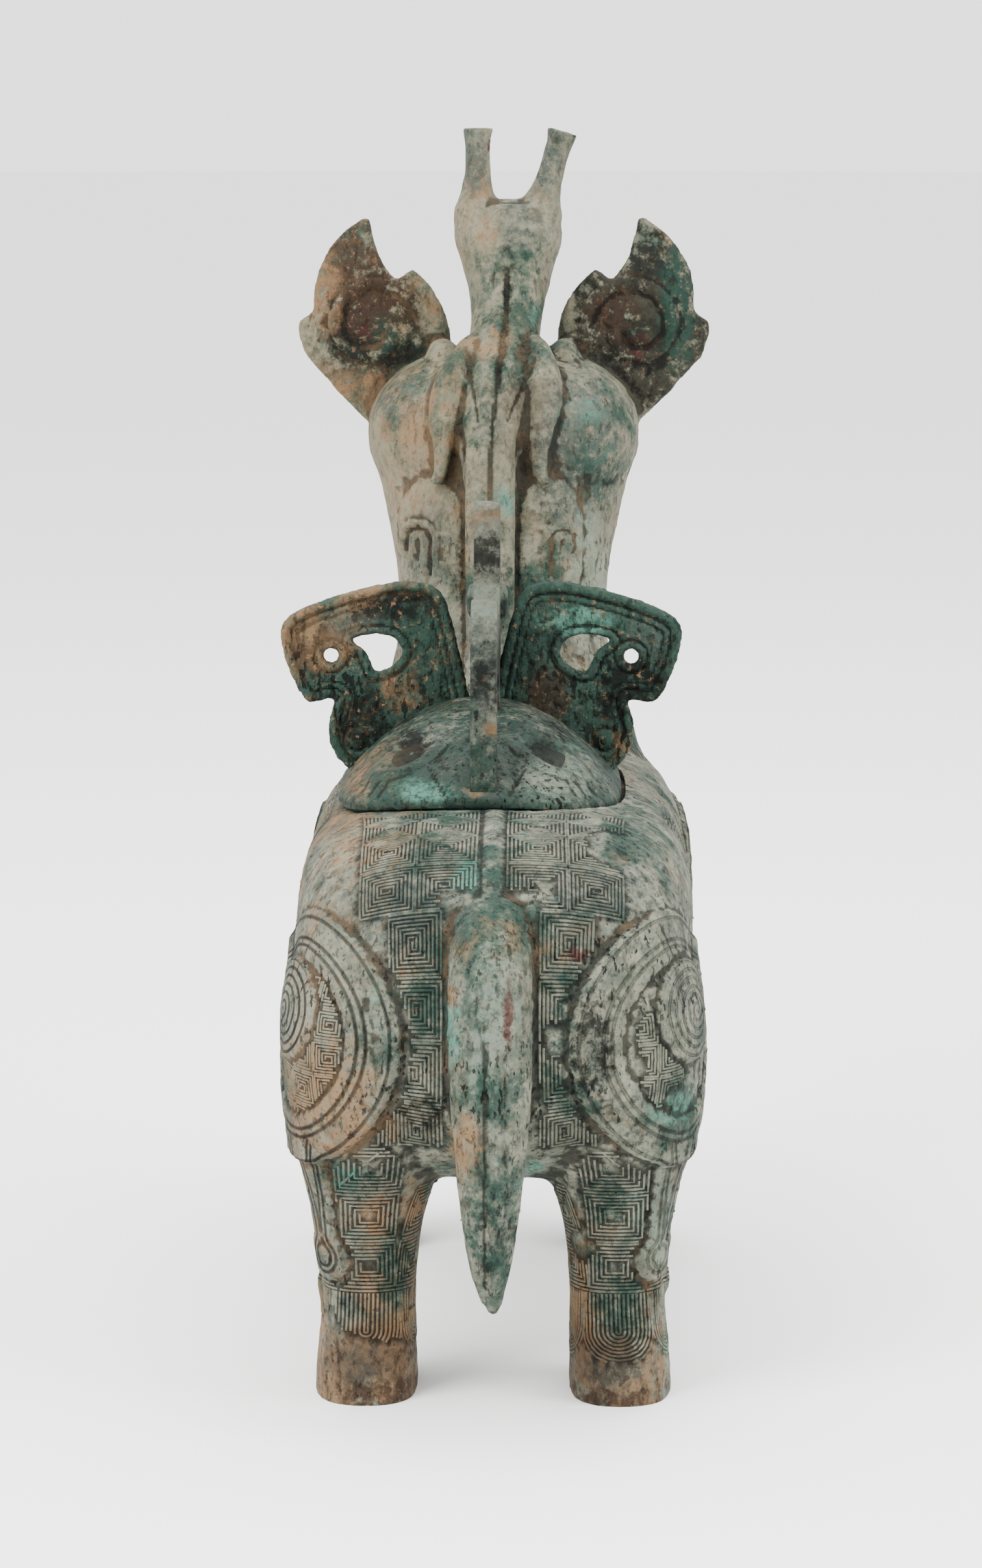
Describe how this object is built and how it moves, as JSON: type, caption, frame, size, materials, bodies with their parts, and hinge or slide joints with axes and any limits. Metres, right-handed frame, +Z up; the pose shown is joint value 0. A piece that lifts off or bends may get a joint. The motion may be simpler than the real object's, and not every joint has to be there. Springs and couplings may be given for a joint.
{
  "type": "animal-shaped zun vessel",
  "caption": "Lidded ancient bronze wine vessel shaped as a standing hoofed animal, with a mask-shaped lid, openwork horn plates, a flat bird knob and a horned beast on its nape.",
  "frame": {"origin": "centre of the bounding box, on the ground under the hooves", "axes": "+Y the way the animal faces, +Z up, +X the animal's right side"},
  "size_m": [0.1426, 0.4102, 0.3837],
  "materials": {
    "vessel_bronze": "corroded bronze: matte grey-green patina with dark malachite, turquoise spots and tan earth",
    "lid_bronze": "corroded bronze: dark malachite green patina with turquoise and tan crust"
  },
  "bodies": {
    "root": {"vessel": "vessel_bronze", "lid": "lid_bronze"}
  },
  "joints": []
}
